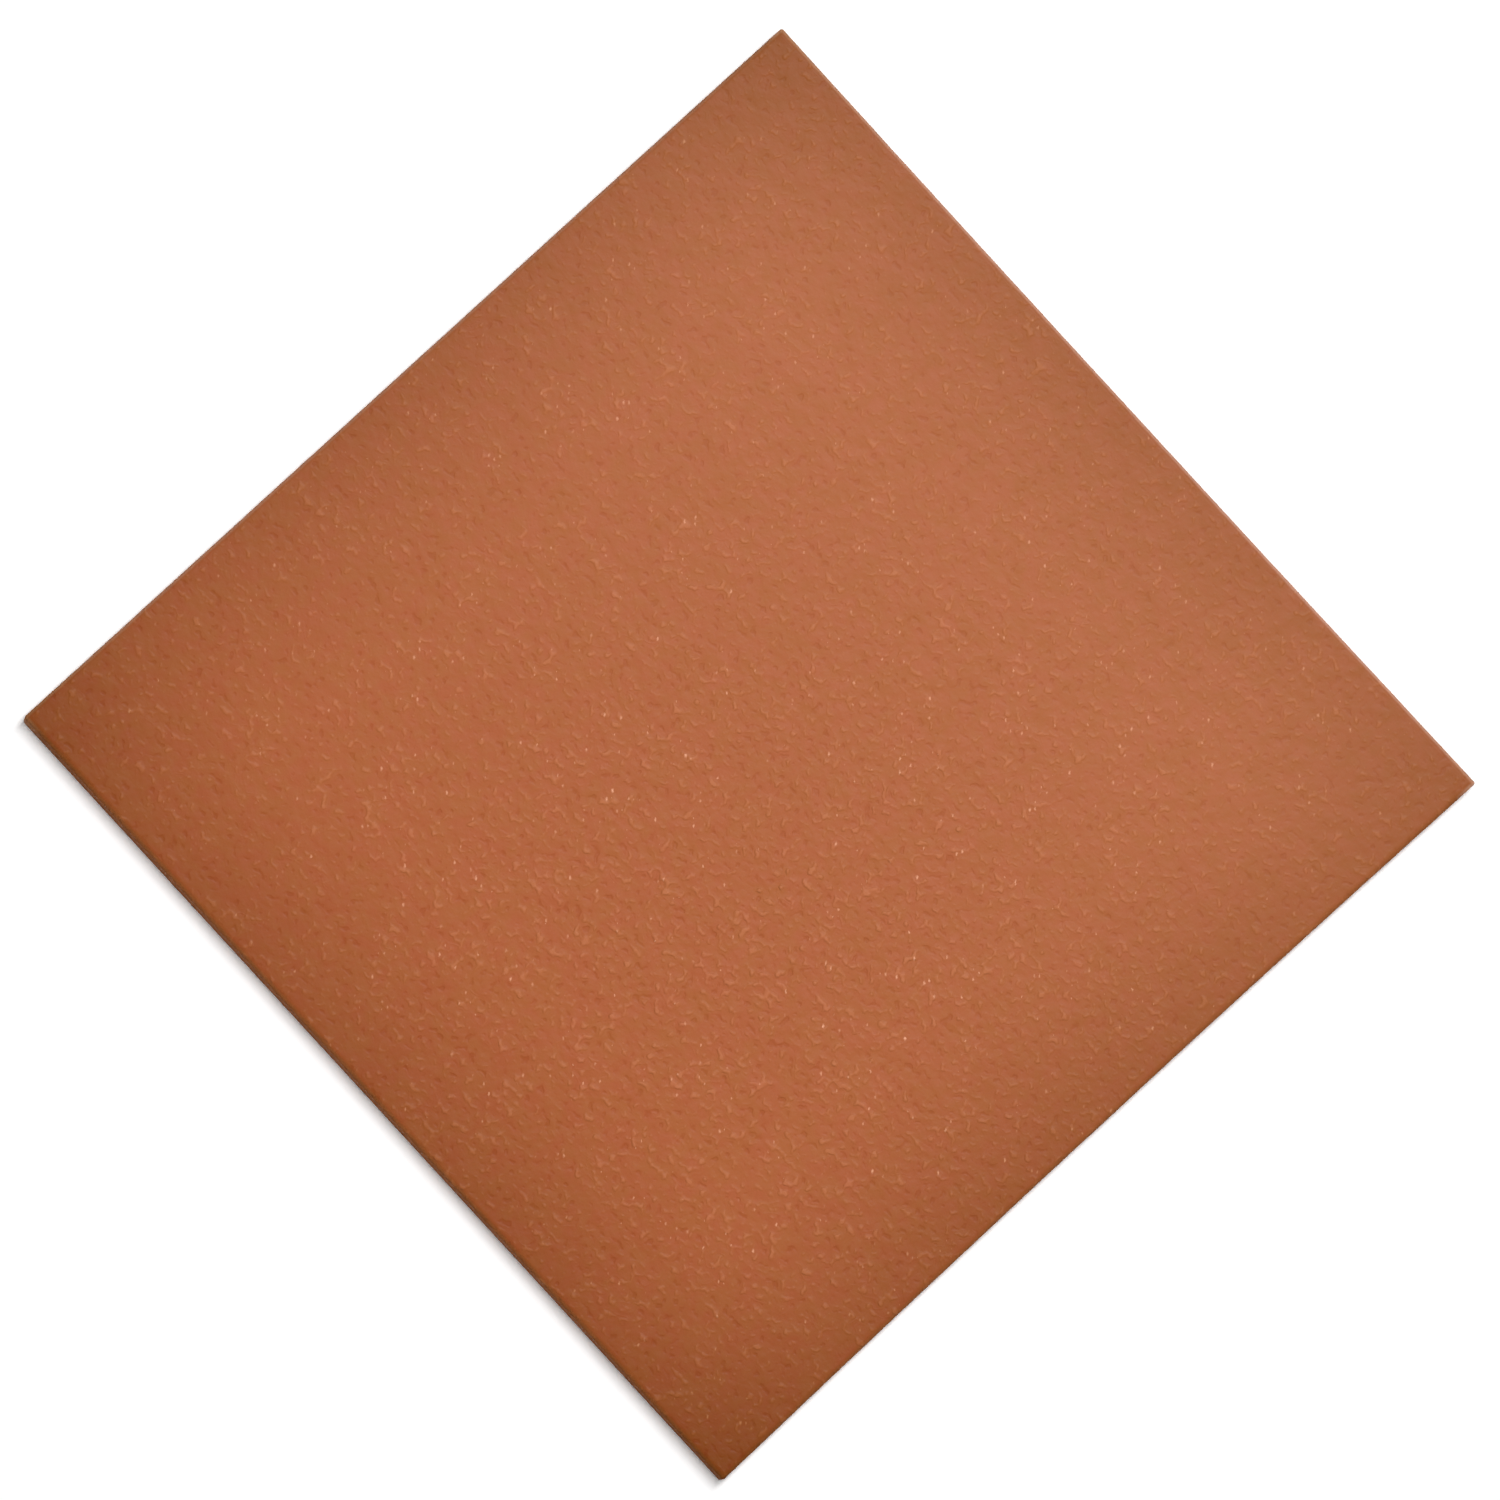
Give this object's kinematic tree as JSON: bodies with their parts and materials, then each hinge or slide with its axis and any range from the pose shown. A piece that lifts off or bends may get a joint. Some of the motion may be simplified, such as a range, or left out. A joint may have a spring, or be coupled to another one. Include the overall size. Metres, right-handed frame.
{
  "type": "ceramic floor tile",
  "caption": "Square unglazed terracotta-red ceramic floor tile with a fine leathery wear face, rounded arrises and a grooved back for adhesive.",
  "frame": {"origin": "middle of the back face, on the plane that the tile lies on", "axes": "+Z out of the wear face, +X and +Y along the sides, with the back's grooves along X"},
  "size_m": [0.3, 0.3, 0.011],
  "materials": {
    "fired_clay": "unglazed, satin to matt, with a fine irregular relief"
  },
  "bodies": {
    "root": {"floor_tile": "fired_clay"}
  },
  "joints": []
}
